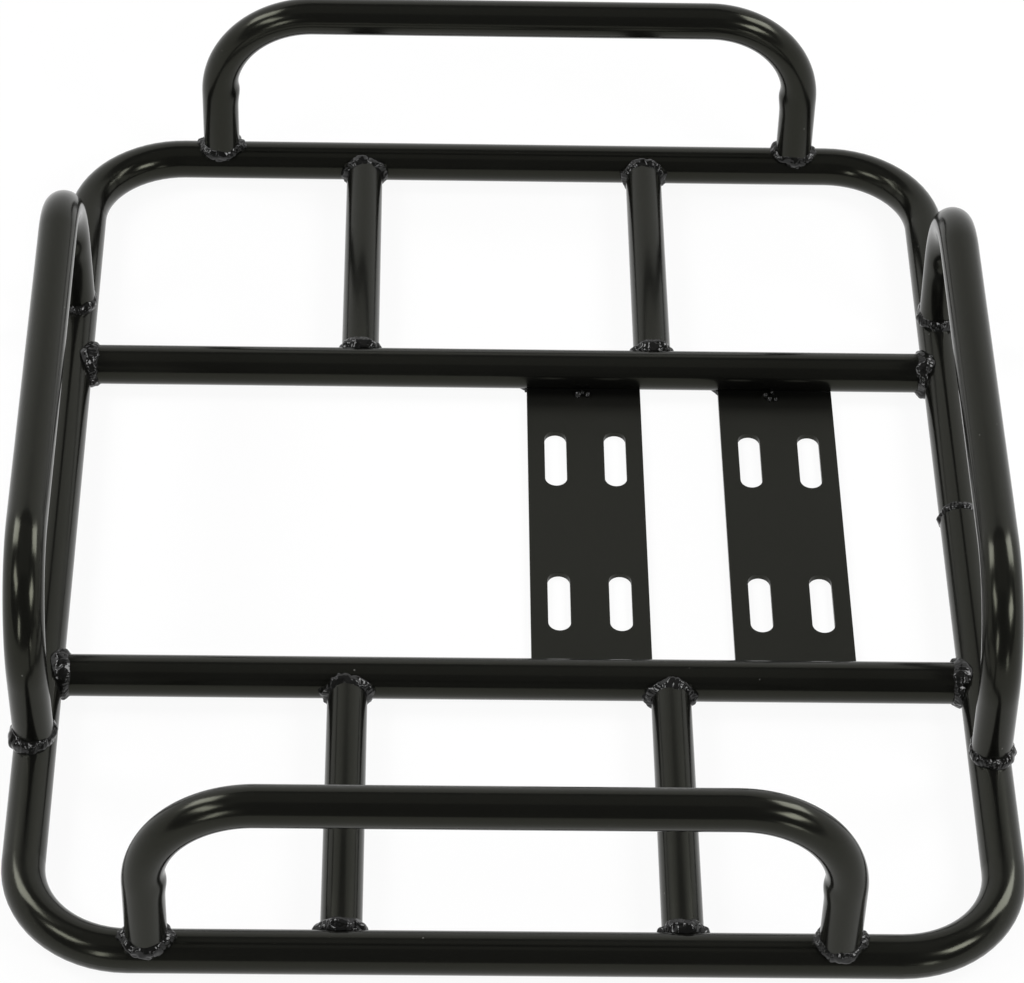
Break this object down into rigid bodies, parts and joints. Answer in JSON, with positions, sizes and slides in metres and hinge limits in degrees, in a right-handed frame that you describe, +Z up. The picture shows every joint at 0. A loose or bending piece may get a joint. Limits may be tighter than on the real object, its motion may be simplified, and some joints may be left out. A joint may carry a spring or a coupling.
{
  "type": "scooter delivery box rack",
  "caption": "Black welded tube rack: rounded ring with crossbars, upright guard hoops on its sides and slotted plates for bolting under a delivery box.",
  "frame": {"origin": "middle of the ring in plan, on the surface that the rack lies on", "axes": "+X across the rack towards the slotted plates, +Y along its depth away from the viewer of the picture, +Z up"},
  "size_m": [0.4683, 0.571, 0.1175],
  "materials": {
    "black_powder_coat": "satin black powder coat",
    "coated_weld": "satin black powder coat over a rippled weld"
  },
  "bodies": {
    "root": {"perimeter_ring": "black_powder_coat", "far_crossbar": "black_powder_coat", "near_crossbar": "black_powder_coat", "far_left_stub": "black_powder_coat", "far_right_stub": "black_powder_coat", "near_left_stub": "black_powder_coat", "near_right_stub": "black_powder_coat", "far_hoop": "black_powder_coat", "near_hoop": "black_powder_coat", "left_hoop": "black_powder_coat", "right_hoop": "black_powder_coat", "inner_slotted_plate": "black_powder_coat", "outer_slotted_plate": "black_powder_coat", "ring_butt_weld": "coated_weld", "far_crossbar_left_weld": "coated_weld", "far_crossbar_right_weld": "coated_weld", "near_crossbar_left_weld": "coated_weld", "near_crossbar_right_weld": "coated_weld", "far_left_stub_ring_weld": "coated_weld", "far_left_stub_bar_weld": "coated_weld", "far_right_stub_ring_weld": "coated_weld", "far_right_stub_bar_weld": "coated_weld", "near_left_stub_ring_weld": "coated_weld", "near_left_stub_bar_weld": "coated_weld", "near_right_stub_ring_weld": "coated_weld", "near_right_stub_bar_weld": "coated_weld", "far_hoop_left_weld": "coated_weld", "far_hoop_right_weld": "coated_weld", "near_hoop_left_weld": "coated_weld", "near_hoop_right_weld": "coated_weld", "left_hoop_far_weld": "coated_weld", "left_hoop_near_weld": "coated_weld", "right_hoop_far_weld": "coated_weld", "right_hoop_near_weld": "coated_weld", "inner_plate_far_weld": "coated_weld", "inner_plate_near_weld": "coated_weld", "outer_plate_far_weld": "coated_weld", "outer_plate_near_weld": "coated_weld"}
  },
  "joints": []
}
